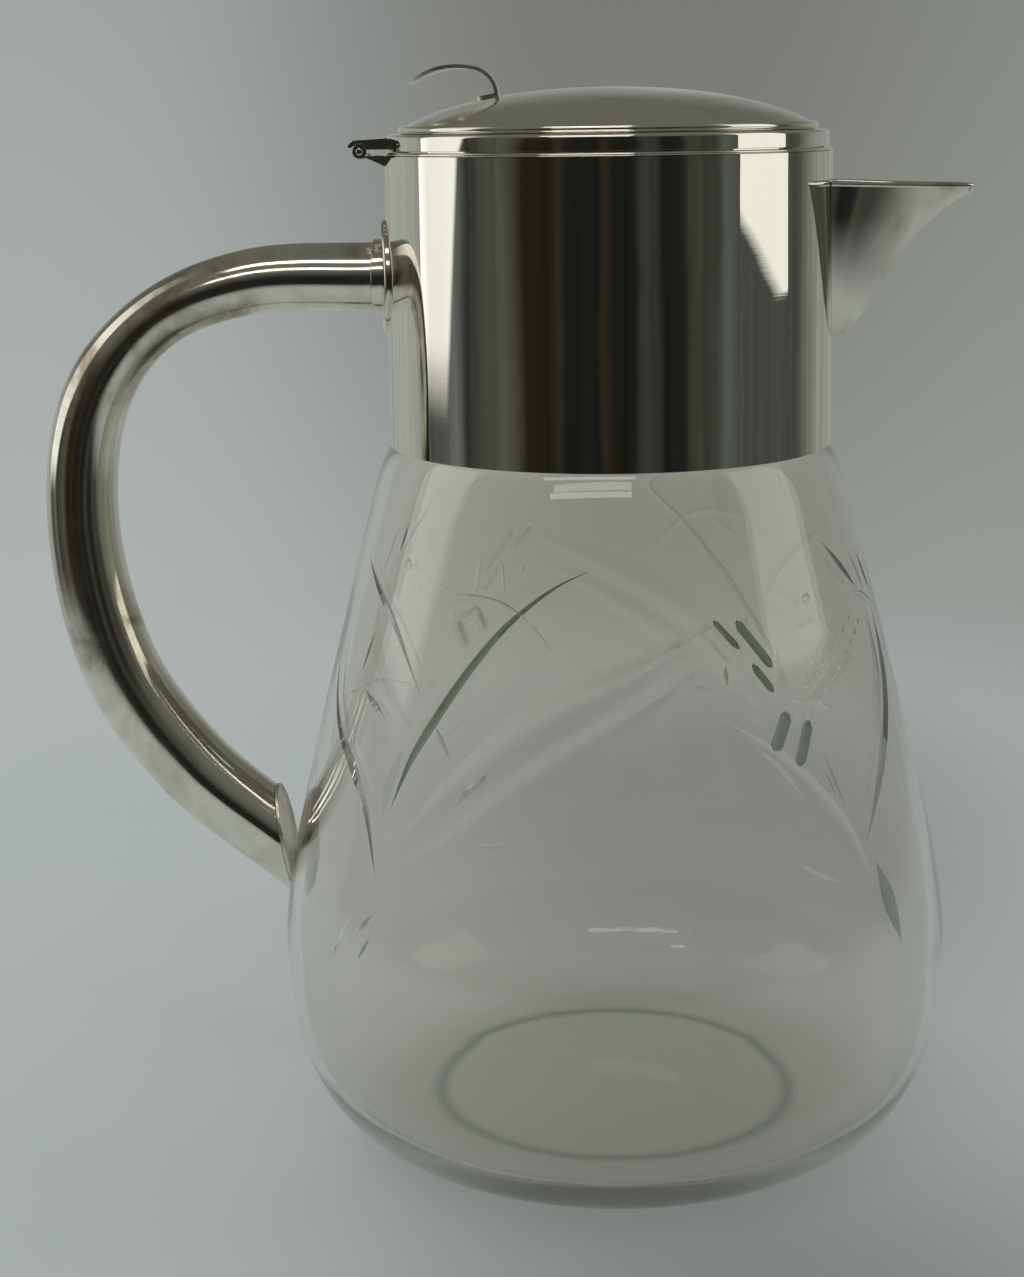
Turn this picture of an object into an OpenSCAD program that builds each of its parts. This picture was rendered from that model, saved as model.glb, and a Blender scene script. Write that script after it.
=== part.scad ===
// Lidded glass serving jug with a silver-plated collar, beak spout, bent tube
// handle and hinged domed lid. Millimetres, +Z up, origin at the centre of the
// foot, +X toward the spout, the handle and the lid hinge at -X.

/* [Collar] */
// Outside diameter of the cylindrical collar
collar_d = 100; // [92:1:110]
// Height of the collar from its lower edge to its top edge
collar_h = 65; // [60:1:75]
// Thickness of the collar sheet
collar_wall = 0.9; // [0.6:0.1:1.4]
// Width of the flat sleeve that lines the mouth under the rim bead
rim_sleeve_t = 1.0; // [0.6:0.1:1.6]
// Depth of the sleeve below the top edge of the collar
rim_sleeve_h = 5; // [3:0.5:8]
// Height of the rounded rim bead on top of the collar
rim_bead_h = 0.8; // [0.5:0.1:1.4]

/* [Glass] */
// Height of the glass from the foot to the lower edge of the collar
body_h = 161; // [145:1:180]
// Largest outside diameter of the glass
belly_d = 153; // [140:1:170]
// Height of the widest place above the foot
belly_h = 47; // [40:1:60]
// Outside diameter of the small shoulder just under the collar
shoulder_d = 107.8; // [105:0.2:112]
// How far that shoulder lies below the collar
shoulder_drop = 11; // [8:1:16]
// How fast the glass widens below the shoulder, in mm of radius for each mm down
flare = 0.256; // [0.15:0.002:0.32]
// Length of the straight pull of the flare before it turns into the belly
flare_pull = 68; // [50:1:75]
// Wall thickness of the side
glass_wall = 3.2; // [2:0.1:4]
// Thickness of the floor at its flat part
floor_t = 6.6; // [5:0.1:9]
// Diameter of the flat part of the floor inside
floor_d = 80; // [60:1:90]
// Diameter of the flat ground foot that the jug stands on
foot_d = 76; // [66:1:86]
// Height of the glass neck inside the collar
neck_h = 20; // [16:1:22]

/* [Neck setting] */
// Thickness of the cement between neck and collar
cement_t = 0.7; // [0.5:0.1:1.5]
// Thickness of the ledge ring that covers the cement and the neck's edge
ledge_t = 0.8; // [0.5:0.1:1.2]
// Height of the ledge ring's upturned edge
ledge_h = 3; // [2:0.5:4]

/* [Spout] */
// How far the beak's tip stands out from the collar
spout_reach = 31.5; // [25:0.5:38]
// Height of the beak's lower end above the lower edge of the collar
spout_low = 23; // [22:0.5:28]
// Height of the beak's rim above the lower edge of the collar
spout_top = 58; // [54:0.1:59]
// Drop of the rim from the collar to the tip
spout_rim_drop = 1; // [0:0.1:4]
// Depth of the channel at the tip
spout_tip_depth = 1.6; // [1.4:0.1:4]
// Width of the beak where it meets the collar
spout_w = 22; // [18:0.5:30]
// Width of the beak at its tip
spout_tip_w = 5; // [4:0.5:8]
// Thickness of the beak's sheet
spout_t = 0.9; // [0.6:0.1:1.3]
// Width of collar wall left between the pouring window and the beak
window_land = 1.2; // [0.8:0.1:2]

/* [Handle] */
// Diameter of the tube where it meets the collar
tube_d = 16; // [13:0.5:18]
// Wall thickness of the tube
tube_wall = 0.9; // [0.6:0.1:1.5]
// Height of the tube's upper end above the lower edge of the collar
handle_z = 37.7; // [33:0.1:42]
// Distance from the jug's axis to the tube's furthest bend line
handle_reach = 122; // [116:1:130]
// Gap between the tube's slanted lower end and the glass
handle_gap = 1.4; // [0.8:0.1:3]
// Thickness of the plate that closes the lower end
end_cap_t = 1.0; // [0.8:0.1:1.6]
// Diameter of the saddle flange on the collar
flange_d = 26; // [22:0.5:30]
// Thickness of the saddle flange
flange_t = 1.2; // [0.8:0.1:2]
// Width of the ring that covers the joint of tube and flange
ferrule_w = 1.9; // [1.4:0.1:3]
// Thickness of that ring over the tube
ferrule_t = 0.6; // [0.4:0.1:1.2]

/* [Lid] */
// Gap between the rim bead and the lid's band when the lid is shut
lid_gap = 0.25; // [0.1:0.05:0.5]
// Height of the lid's upright band
band_h = 3.6; // [2.5:0.1:5]
// How far the band stands in from the collar's face
band_inset = 0.7; // [0.3:0.1:1.5]
// Sheet thickness of band, dome and bezel
lid_sheet = 0.8; // [0.6:0.1:1]
// Radius of the dome's rolled edge
roll_r = 0.95; // [0.8:0.05:1.2]
// How far the rolled edge stands in from the band's face
roll_inset = 2.4; // [1.6:0.1:3.2]
// Rise of the dome above its rolled edge
dome_rise = 8.1; // [6:0.1:12]
// Depth of the locating bezel below the collar's top edge
bezel_drop = 4; // [2:0.5:6]
// Clearance round the bezel in the mouth
bezel_clear = 0.5; // [0.4:0.1:0.8]

/* [Hinge] */
// Distance of the pin from the collar's face
pin_out = 5; // [4.6:0.1:6]
// Height of the pin above the top edge of the collar
pin_up = 1; // [0.8:0.1:1.6]
// Diameter of the pin
pin_d = 1.5; // [1.2:0.1:1.8]
// Outside diameter of the knuckles
knuckle_d = 3.2; // [2.8:0.1:3.6]
// Length of the whole barrel
barrel_l = 16; // [14:1:22]
// Length of the lid's middle knuckle
lid_knuckle_l = 6; // [4:0.5:8]
// Gap at each end of the middle knuckle
knuckle_gap = 0.15; // [0.1:0.05:0.3]
// Radial clearance of the pin in the lid's knuckle
pin_clear = 0.06; // [0.03:0.01:0.1]

/* [Thumb-piece] */
// Thickness of the curled sheet
thumb_t = 0.8; // [0.6:0.1:1.2]
// Radius of the tight curl above the foot
curl_r = 6.5; // [5:0.1:8]
// Radius of the flatter sweep toward the hinge
sweep_r = 18; // [13:0.5:24]
// Length of the flatter sweep
sweep_l = 16; // [12:0.2:18]
// Distance of the curl's foot from the jug's axis
thumb_x = 24.2; // [20:0.1:28]
// Largest width of the thumb-piece
thumb_w = 17; // [12:0.5:22]
// Width of its foot on the dome
foot_w = 9; // [7:0.5:12]
// Length of its foot on the dome
foot_l = 5.6; // [4:0.2:7]
// Angle, from level, at which the curl runs on into the sweep
curl_turn = 77; // [60:1:85]

/* [Hidden] */
$fn = 96;
EPS = 0.01;

// Radii and heights that the pieces share
collar_r = collar_d / 2;
collar_ir = collar_r - collar_wall;
collar_z = body_h;
top_z = body_h + collar_h;
neck_r = collar_ir - cement_t;
neck_ir = neck_r - glass_wall;
belly_r = belly_d / 2;
shoulder_r = shoulder_d / 2;
foot_r = foot_d / 2;
floor_r = floor_d / 2;
shelf_in = 0.5;
base_pull = 0.82;
base_sweep = 0.294;
mouth_r = collar_ir - rim_sleeve_t;

// Lid
band_r = collar_r - band_inset;
band_z = top_z + rim_bead_h + lid_gap;
band_top = band_z + band_h;
roll_cr = band_r - roll_inset - roll_r;
roll_z = band_top + roll_r;
dome_z = roll_z + roll_r + dome_rise;
bezel_r = mouth_r - bezel_clear;

// Solder line between a straight-sided piece and the round collar
seat_gap = 0.02;

// Depth of the curl's centre below the dome's crown
curl_down = 1.6;

// Hinge
pin_x = -(collar_r + pin_out);
pin_z = top_z + pin_up;
pin_r = pin_d / 2;
knuckle_r = knuckle_d / 2;
sweep_clear = 0.2;
pin_fit = 0.01;

// Handle
tube_r = tube_d / 2;
flange_z = collar_z + handle_z;
flange_face = collar_r + flange_t;

// ---- curves ---------------------------------------------------------------

function bez(a, b, c, d, t) =
    pow(1 - t, 3) * a + 3 * pow(1 - t, 2) * t * b
    + 3 * (1 - t) * t * t * c + pow(t, 3) * d;

// Points of one cubic curve, without its first point
function bez_run(a, b, c, d, n) = [for (i = [1:n]) bez(a, b, c, d, i / n)];

function arc(cx, cy, r, from, to, n) =
    [for (i = [0:n]) let (a = from + (to - from) * i / n)
        [cx + r * cos(a), cy + r * sin(a)]];

function mirror_rows(p) = [for (i = [len(p) - 1:-1:0]) p[i]];

// Smooth curve through a list of stations of any length
function spline_at(p, i, t) =
    let (n = len(p) - 1,
         b = p[i], c = p[i + 1],
         a = i == 0 ? 2 * b - c : p[i - 1],
         d = i + 1 == n ? 2 * c - b : p[i + 2])
    0.5 * (2 * b + (c - a) * t + (2 * a - 5 * b + 4 * c - d) * t * t
           + (3 * b - a - 3 * c + d) * t * t * t);

// ---- glass ----------------------------------------------------------------

// Outline of the blown form from the shoulder down, drawn in by the wall w. With
// w = 0 it is the outside. The floor begins at radius r0 and height z0. It runs
// through a short shoulder, a long flare, the belly and the turn of the base.
function glass_side(w, z0, r0, n) =
    let (top = [collar_r - shelf_in - w, body_h],
         s = [shoulder_r - w, body_h - shoulder_drop],
         b = [belly_r - w, belly_h],
         base = [r0, z0])
    concat(
        [top],
        bez_run(top, top + [1.6, -1.8],
                s + [-flare, 1] * shoulder_drop / 2, s, 6),
        bez_run(s, s + [flare, -1] * flare_pull, b + [0, flare_pull / 5], b, n),
        bez_run(b, b - [0, base_pull * (belly_h - z0)],
                base + [base_sweep * belly_r, 0], base, n));

module glass_body() {
    neck_top = body_h + neck_h;
    outer = glass_side(0, 0, foot_r, 22);
    inner = glass_side(glass_wall, floor_t, floor_r, 22);
    color([0.85, 0.92, 0.9, 0.35])
        rotate_extrude()
            polygon(concat(
                [[neck_r, neck_top], [neck_r, body_h]], outer, [[0, 0], [0, floor_t]],
                mirror_rows(inner), [[neck_ir, body_h + 4], [neck_ir, neck_top]]));
}

module neck_cement() {
    color([0.88, 0.86, 0.8])
        translate([0, 0, collar_z])
            difference() {
                cylinder(r = collar_ir - EPS, h = neck_h);
                translate([0, 0, -1]) cylinder(r = neck_r + EPS, h = neck_h + 2);
            }
}

module neck_ledge() {
    color([0.75, 0.74, 0.71])
        translate([0, 0, collar_z + neck_h])
            difference() {
                cylinder(r = collar_ir - EPS, h = ledge_h);
                translate([0, 0, -1]) cylinder(r = neck_ir + 0.5, h = ledge_h + 2);
                translate([0, 0, ledge_t])
                    cylinder(r = collar_ir - ledge_t, h = ledge_h);
            }
}

// ---- beak spout -----------------------------------------------------------

spout_rows = 16;
spout_cols = 20;
spout_tip_x = collar_r + spout_reach;

// Keel of the beak, seen from the side: it leaves the collar almost level,
// climbs steeply and flattens out toward the tip.
function keel(u) =
    let (root = [collar_r, collar_z + spout_low],
         tip = [spout_tip_x, collar_z + spout_top - spout_rim_drop - spout_tip_depth])
    bez(root, root + [0.3 * spout_reach, 0.2],
        tip - [0.6 * spout_reach, 0.27 * (tip.y - root.y)], tip, u);

function rim_height(u) = collar_z + spout_top - spout_rim_drop * u;
function half_width(u) =
    spout_tip_w / 2 + (spout_w - spout_tip_w) / 2 * (1 - pow(u, 1.25));

// A section's point: t runs from -1 at one rim over 0 at the keel to 1
function section(w, depth, top, t) = [w * t, top - depth * (1 - pow(abs(t), 1.7))];

// Point of the beak's skin; in is 0 outside and 1 inside
function skin(u, t, in) =
    let (k = keel(u),
         top = rim_height(u),
         w = half_width(u) - in * spout_t,
         s = section(w, top - k.y - in * spout_t * 1.25, top, t),
         wall = sqrt(collar_r * collar_r - s.x * s.x) - collar_r)
    [k.x + seat_gap + wall * pow(1 - u, 3), s.x, s.y];

module spout() {
    n = spout_rows;
    m = spout_cols;
    row = m + 1;
    side = (n + 1) * row;
    pts = [for (in = [0, 1]) for (i = [0:n]) for (j = [0:m])
        skin(i / n, 2 * j / m - 1, in)];
    function at(in, i, j) = in * side + i * row + j;
    function quad(a, b, c, d) = [[a, b, c], [a, c, d]];
    skins = [for (i = [0:n - 1]) for (j = [0:m - 1])
        for (f = concat(
            quad(at(0, i, j), at(0, i, j + 1), at(0, i + 1, j + 1), at(0, i + 1, j)),
            quad(at(1, i, j), at(1, i + 1, j), at(1, i + 1, j + 1), at(1, i, j + 1)))) f];
    rims = [for (i = [0:n - 1])
        for (f = concat(
            quad(at(0, i, 0), at(0, i + 1, 0), at(1, i + 1, 0), at(1, i, 0)),
            quad(at(0, i, m), at(1, i, m), at(1, i + 1, m), at(0, i + 1, m)))) f];
    ends = [for (j = [0:m - 1])
        for (f = concat(
            quad(at(0, 0, j), at(1, 0, j), at(1, 0, j + 1), at(0, 0, j + 1)),
            quad(at(0, n, j), at(0, n, j + 1), at(1, n, j + 1), at(1, n, j)))) f];
    color([0.8, 0.79, 0.76]) polyhedron(pts, concat(skins, rims, ends));
}

// Opening through the collar behind the beak, drawn from the beak's own section
module pouring_window() {
    w = spout_w / 2 - spout_t - window_land;
    top = spout_top - window_land;
    depth = spout_top - spout_low - spout_t * 1.25 - 2 * window_land;
    rotate([90, 0, 90])
        linear_extrude(height = collar_r + 5)
            polygon([for (j = [-12:12]) section(w, depth, collar_z + top, j / 12)]);
}

// ---- collar ---------------------------------------------------------------

module collar() {
    color([0.78, 0.77, 0.74])
        difference() {
            translate([0, 0, collar_z]) cylinder(r = collar_r, h = collar_h);
            translate([0, 0, collar_z - 1]) cylinder(r = collar_ir, h = collar_h + 2);
            pouring_window();
        }
}

module collar_rim() {
    bead = rim_bead_h / 2;
    color([0.8, 0.79, 0.76])
        rotate_extrude() {
            translate([mouth_r, top_z - rim_sleeve_h])
                square([rim_sleeve_t, rim_sleeve_h + rim_bead_h]);
            translate([mouth_r, top_z])
                square([collar_r - bead - 0.2 - mouth_r, rim_bead_h]);
            translate([collar_r - bead - 0.2, top_z + bead]) circle(r = bead, $fn = 32);
        }
}

// ---- handle ---------------------------------------------------------------

tube_sides = 24;
tube_steps = 5;
bend_x = -handle_reach;

// Centre line and radius of the tube, from the collar round to the cut end:
// [x, height above the collar's lower edge, radius]. The bent tube is drawn
// thinner in the tight upper bend and fuller toward its lower end.
cut_z = -95;
cut_x = -(glass_radius_at(collar_z + cut_z) + handle_gap + end_cap_t);
tube_path = [
    [-flange_face - 0.1, handle_z, tube_r],
    [bend_x + 41, handle_z - 0.7, tube_r - 0.5],
    [bend_x + 18, handle_z - 9.7, tube_r - 1],
    [bend_x + 3.5, handle_z - 28.7, tube_r - 0.1],
    [bend_x, -20, tube_r + 0.3],
    [bend_x + 7, -52, tube_r + 0.9],
    [bend_x + 23.5, -76.5, tube_r + 1.1],
    [cut_x, cut_z, tube_r + 0.9]];

// Outside radius of the glass at a height, read from its own outline
function glass_radius_at(z) = lookup(z,
    [for (p = mirror_rows([for (q = glass_side(0, 0, foot_r, 22)) if (q.y < body_h) q]))
        [p.y, p.x]]);

// Slope of the glass beside the tube's end, as a unit vector pointing down
function cut_line() =
    let (a = glass_radius_at(collar_z + cut_z + 10),
         b = glass_radius_at(collar_z + cut_z - 10),
         v = [a - b, -20])
    v / norm(v);

function tube_station(k) =
    let (i = min(floor(k / tube_steps), len(tube_path) - 2))
    spline_at(tube_path, i, k / tube_steps - i);

tube_last = (len(tube_path) - 1) * tube_steps;

function tube_heading(k) =
    let (a = tube_station(max(k - 0.2, 0)), b = tube_station(min(k + 0.2, tube_last)),
         v = [b.x - a.x, b.y - a.y])
    v / norm(v);

// Direction across the tube: square to it, but along the cut at the lower end
// and along the collar's face at the upper one
function tube_across(k) =
    let (h = tube_heading(k), n = [-h.y, h.x],
         c = k == tube_last ? cut_line() : k == 0 ? [0, 1] : n)
    c / (c * n);

function tube_ring(k, inset) =
    let (s = tube_station(k), n = tube_across(k), r = s.z - inset)
    [for (j = [0:tube_sides - 1]) let (a = 360 * j / tube_sides)
        [s.x + r * cos(a) * n.x, r * sin(a), collar_z + s.y + r * cos(a) * n.y]];

module handle_tube() {
    n = tube_sides;
    rings = tube_last + 1;
    skin_pts = rings * n;
    pts = [for (inset = [0, tube_wall]) for (k = [0:tube_last])
        for (p = tube_ring(k, inset)) p];
    function at(in, k, j) = in * skin_pts + k * n + j % n;
    skins = [for (k = [0:tube_last - 1]) for (j = [0:n - 1]) for (f = [
        [at(0, k, j), at(0, k + 1, j), at(0, k + 1, j + 1)],
        [at(0, k, j), at(0, k + 1, j + 1), at(0, k, j + 1)],
        [at(1, k, j), at(1, k + 1, j + 1), at(1, k + 1, j)],
        [at(1, k, j), at(1, k, j + 1), at(1, k + 1, j + 1)]]) f];
    ends = [for (j = [0:n - 1]) for (f = [
        [at(0, 0, j), at(0, 0, j + 1), at(1, 0, j + 1)],
        [at(0, 0, j), at(1, 0, j + 1), at(1, 0, j)],
        [at(0, tube_last, j), at(1, tube_last, j + 1), at(0, tube_last, j + 1)],
        [at(0, tube_last, j), at(1, tube_last, j), at(1, tube_last, j + 1)]]) f];
    color([0.8, 0.79, 0.77]) polyhedron(pts, concat(skins, ends));
}

// Oval plate soldered over the slanted lower end
module handle_end_cap() {
    n = tube_across(tube_last);
    s = tube_path[len(tube_path) - 1];
    lean = atan2(n.x, n.y);
    color([0.72, 0.71, 0.68])
        translate([s.x, 0, collar_z + s.y])
            rotate([0, lean, 0]) rotate([0, 90, 0])
                linear_extrude(height = end_cap_t)
                    polygon([for (j = [0:tube_sides - 1]) let (a = 360 * j / tube_sides)
                        s.z * [norm(n) * cos(a), sin(a)]]);
}

module handle_flange() {
    color([0.8, 0.79, 0.77])
        intersection() {
            translate([0, 0, flange_z - flange_d])
                difference() {
                    cylinder(r = flange_face, h = 2 * flange_d);
                    translate([0, 0, -1]) cylinder(r = collar_r, h = 2 * flange_d + 2);
                }
            translate([0, 0, flange_z])
                rotate([0, -90, 0]) cylinder(d = flange_d, h = 2 * collar_r);
        }
}

// Ring round the tube's end, seated on the saddle flange
module handle_ferrule() {
    reach = flange_face + ferrule_w;
    color([0.8, 0.79, 0.77])
        difference() {
            translate([0, 0, flange_z])
                rotate([0, -90, 0])
                    rotate_extrude() {
                        translate([tube_r + EPS, 0])
                            square([ferrule_t, reach - ferrule_t]);
                        translate([tube_r + EPS, 0])
                            square([ferrule_t / 2, reach]);
                        translate([tube_r + EPS + ferrule_t / 2, reach - ferrule_t])
                            circle(r = ferrule_t / 2, $fn = 24);
                    }
            translate([0, 0, flange_z - flange_d])
                cylinder(r = flange_face, h = 2 * flange_d);
        }
}

// ---- hinge ----------------------------------------------------------------

module on_pin() translate([pin_x, 0, pin_z]) children();

// Length of barrel from y = a to y = b
module pin_rod(r, a, b)
    on_pin() translate([0, a, 0]) rotate([-90, 0, 0]) cylinder(r = r, h = b - a, $fn = 48);

// Side outline, drawn round the pin, pushed out from y = a to y = b
module side_plate(points, a, b)
    on_pin() translate([0, b, 0]) rotate([90, 0, 0])
        linear_extrude(height = b - a) polygon(points);

module hinge_bracket() {
    half = barrel_l / 2;
    mid = lid_knuckle_l / 2 + knuckle_gap;
    wall = pin_out + 1.2;
    arm = [[0, -0.75 * knuckle_r], [0.8 * knuckle_r, -0.9], [wall, -0.9], [wall, -3.3],
           [pin_out + 0.6, -3.3], [knuckle_r - 0.1, -1.45], [0, -knuckle_r]];
    web = [[pin_out - 1.2, -0.9], [wall, -0.9], [wall, -3.3], [pin_out + 0.4, -3.3],
           [pin_out - 1.2, -2.4]];
    color([0.6, 0.58, 0.54])
        difference() {
            union() {
                for (s = [[-half, -mid], [mid, half]]) {
                    pin_rod(knuckle_r, s[0], s[1]);
                    side_plate(arm, s[0], s[1]);
                }
                side_plate(web, -half, half);
            }
            pin_rod(pin_r + pin_fit, -half - 1, half + 1);
            translate([0, 0, collar_z]) cylinder(r = collar_r, h = collar_h + 5);
        }
}

module hinge_pin() {
    end = barrel_l / 2 + 0.25;
    color([0.5, 0.47, 0.42]) pin_rod(pin_r, -end, end);
}

module lid_hinge_leaf() {
    half = barrel_l / 2;
    mid = lid_knuckle_l / 2;
    gap_r = knuckle_r + sweep_clear;
    top = gap_r + lid_sheet;
    band = pin_out + 2;
    cover = [[-2.6, 0.8], [-2.5, 1.5], [-1.4, top - 0.15], [0, top], [band, top + 0.35],
             [band, 0.4], [1.2, 0.4], [0, 0.6], [-1.6, 0.9]];
    color([0.6, 0.58, 0.54])
        difference() {
            union() {
                side_plate(cover, -half, half);
                pin_rod(knuckle_r, -mid, mid);
            }
            for (s = [[-half - 1, -mid], [mid, half + 1]]) pin_rod(gap_r, s[0], s[1]);
            pin_rod(pin_r + pin_clear, -mid - 1, mid + 1);
            cylinder(r = band_r, h = top_z + 20);
        }
}

// ---- lid ------------------------------------------------------------------

module lid_band() {
    corner = lid_sheet;
    inner = roll_cr - 1;
    color([0.8, 0.79, 0.76])
        rotate_extrude()
            polygon(concat(
                [[band_r - lid_sheet, band_z], [band_r, band_z]],
                arc(band_r - corner, band_top - corner, corner, 0, 90, 8),
                [[inner, band_top], [inner, band_top - lid_sheet],
                 [band_r - lid_sheet, band_top - lid_sheet]]));
}

// Upright sleeve that centres the lid in the mouth
module lid_bezel() {
    low = top_z - bezel_drop;
    color([0.74, 0.73, 0.7])
        translate([0, 0, low])
            difference() {
                cylinder(r = bezel_r, h = band_top - lid_sheet - low);
                translate([0, 0, -1])
                    cylinder(r = bezel_r - lid_sheet, h = band_top - low + 2);
            }
}

// Angle round the rolled edge where the dome's sheet meets it, d below the outside
function roll_angle(d) = 125 + d / roll_r * 180 / PI;

// Outline of the dome from its crown down to the rolled edge, d below the
// outside. It is a little fuller than an arc of a circle.
function dome_line(d, n) =
    let (a = roll_angle(d),
         edge = [roll_cr, roll_z] + roll_r * [cos(a), sin(a)],
         crown = [0, dome_z - d])
    concat([crown], bez_run(crown, crown + [0.42 * roll_cr, 0],
        edge + [-0.21 * roll_cr, 0.65 * dome_rise], edge, n));

module lid_dome() {
    step = 15;
    color([0.82, 0.81, 0.78])
        rotate_extrude()
            polygon(concat(
                dome_line(0, 18),
                arc(roll_cr, roll_z, roll_r, roll_angle(0) - step,
                    roll_angle(lid_sheet) - 360 + step, 18),
                mirror_rows(dome_line(lid_sheet, 18))));
}

module dome_block() {
    rotate_extrude()
        polygon(concat(dome_line(0, 18), [[roll_cr, roll_z - 5], [0, roll_z - 5]]));
}

// Side view of the sheet, d inside its outer face: a tight curl over the foot that
// runs on into a flatter sweep toward the hinge
function curl_line(d) =
    let (c = [-thumb_x - curl_r, dome_z - curl_down],
         m = c - (sweep_r - curl_r) * [cos(curl_turn), sin(curl_turn)],
         end = curl_turn + sweep_l / sweep_r * 180 / PI)
    concat(arc(c.x, c.y, curl_r - d, 0, curl_turn, 12),
           arc(m.x, m.y, sweep_r - d, curl_turn, end, 10));

// Half outline from above: narrow at the foot, widest in mid-sweep, round tip
function thumb_edge(tip) =
    let (wide = thumb_w / 2, root = [-thumb_x + 1, foot_w / 2],
         waist = [-thumb_x - curl_r / 2, foot_w / 2],
         mid = [tip + wide, wide])
    concat([root],
           bez_run(root, waist, waist + [-curl_r / 2, thumb_w / 6], mid, 10),
           bez_run(mid, mid - [wide / 2, 0], [tip, wide / 2], [tip, 0], 8));

module thumb_piece() {
    outer = curl_line(0);
    edge = thumb_edge(outer[len(outer) - 1].x);
    color([0.78, 0.77, 0.74])
        difference() {
            union() {
                intersection() {
                    translate([0, thumb_w, 0]) rotate([90, 0, 0])
                        linear_extrude(height = 2 * thumb_w)
                            polygon(concat(outer, mirror_rows(curl_line(thumb_t))));
                    translate([0, 0, top_z]) linear_extrude(height = 60)
                        polygon(concat(edge,
                            [for (p = mirror_rows(edge)) if (p.y > 0) [p.x, -p.y]]));
                }
                thumb_foot();
            }
            dome_block();
        }
}

// Tab under the curl that lies on the dome and carries it
module thumb_foot() {
    back = -thumb_x - foot_l;
    neck = foot_w / 2;
    half = concat([[-thumb_x, neck]],
        bez_run([-thumb_x, neck], [back + 1, neck], [back, neck / 2], [back, 0], 8));
    intersection() {
        rotate_extrude()
            polygon(concat(dome_line(-thumb_t, 18), mirror_rows(dome_line(0, 18))));
        translate([0, 0, top_z]) linear_extrude(height = 60)
            polygon(concat(half, [for (p = mirror_rows(half)) if (p.y > 0) [p.x, -p.y]]));
    }
}

glass_body();
neck_cement();
neck_ledge();
collar();
collar_rim();
spout();
handle_flange();
handle_ferrule();
handle_tube();
handle_end_cap();
hinge_bracket();
hinge_pin();
lid_band();
lid_bezel();
lid_dome();
lid_hinge_leaf();
thumb_piece();
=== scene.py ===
import math

import bmesh
import bpy
import numpy as np
from mathutils import Matrix, Vector
from mathutils.geometry import delaunay_2d_cdt


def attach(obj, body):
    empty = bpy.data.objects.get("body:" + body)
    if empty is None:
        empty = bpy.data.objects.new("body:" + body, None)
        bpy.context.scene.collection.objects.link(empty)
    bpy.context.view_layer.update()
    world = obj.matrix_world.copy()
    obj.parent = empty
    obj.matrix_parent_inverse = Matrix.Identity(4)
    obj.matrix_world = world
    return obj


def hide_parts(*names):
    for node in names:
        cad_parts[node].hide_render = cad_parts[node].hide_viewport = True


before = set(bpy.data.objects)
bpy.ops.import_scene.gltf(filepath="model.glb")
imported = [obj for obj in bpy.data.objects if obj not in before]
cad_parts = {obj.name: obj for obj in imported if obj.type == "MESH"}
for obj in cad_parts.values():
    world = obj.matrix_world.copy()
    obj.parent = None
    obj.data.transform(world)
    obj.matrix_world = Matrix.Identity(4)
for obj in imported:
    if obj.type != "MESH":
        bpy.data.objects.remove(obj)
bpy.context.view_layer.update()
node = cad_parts

# Glass body: clear crystal blown to this outline with a thick foot, then cut and
# polished on the wheel. Heights and radii are in millimetres above the ground,
# from the neck down the outside and back up the inside.
MM = 0.001
BODY_TOP = 161.0
NECK_R = 48.4
NECK_BORE = 45.2
SHOULDER = (53.9, 150.0)
BELLY = (76.5, 47.0)
FOOT_R = 38.0
WALL = 3.2
BASE = 6.6
RING_R = 40.9
# Painted shade of the dark ring on the glass floor.
RING_PAINTED_SHADE = 0.72
BACK_SHARE = 0.35
# Ray depth past which the glass shows a painted glow.
PAINTED_GLOW_DEPTH = 5.5


def bezier(a, b, c, d, count):
    """Points of one cubic curve, without its first point."""
    points = []
    for i in range(1, count + 1):
        t = i / count
        s = 1 - t
        points.append(tuple(
            s ** 3 * p + 3 * s * s * t * q + 3 * s * t * t * r + t ** 3 * w
            for p, q, r, w in zip(a, b, c, d)))
    return points


def glass_line(wall, start_r, low_r, low, steps):
    """Side of the blown form drawn in by wall, from the shoulder to its floor."""
    top = (start_r, BODY_TOP)
    s = (SHOULDER[0] - wall, SHOULDER[1])
    b = (BELLY[0] - wall, BELLY[1])
    rise = BODY_TOP - SHOULDER[1]
    line = [top]
    line += bezier(top, (top[0] + 1.6, top[1] - 1.8),
                   (s[0] - 0.128 * rise, s[1] + rise / 2), s, steps // 4)
    line += bezier(s, (s[0] + 17.4, s[1] - 68), (b[0], b[1] + 13.6), b, steps)
    line += bezier(b, (b[0], b[1] - 0.82 * (b[1] - low)),
                   (low_r + 22.49, low), (low_r, low), steps)
    return line


def smooth_run(points, steps):
    """Smooth curve through points of any size, steps to each span."""
    first = tuple(2 * p - q for p, q in zip(points[0], points[1]))
    last = tuple(2 * p - q for p, q in zip(points[-1], points[-2]))
    path = [first] + list(points) + [last]
    run = []
    for i in range(1, len(path) - 2):
        for k in range(steps):
            t = k / steps
            run.append(tuple(
                0.5 * (2 * q + (r - p) * t + (2 * p - 5 * q + 4 * r - s) * t * t
                       + (3 * q - p - 3 * r + s) * t ** 3)
                for p, q, r, s in zip(*path[i - 1:i + 3])))
    return run + [tuple(points[-1])]


def new_object(name, data):
    made = bpy.data.objects.new(name, data)
    bpy.context.scene.collection.objects.link(made)
    return made


def smooth_faces(work, crease):
    """Turns faces outward and smooths them, edges over crease degrees kept sharp."""
    bmesh.ops.recalc_face_normals(work, faces=work.faces)
    for face in work.faces:
        face.smooth = True
    for edge in work.edges:
        edge.smooth = edge.calc_face_angle(0) < math.radians(crease)


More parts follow.
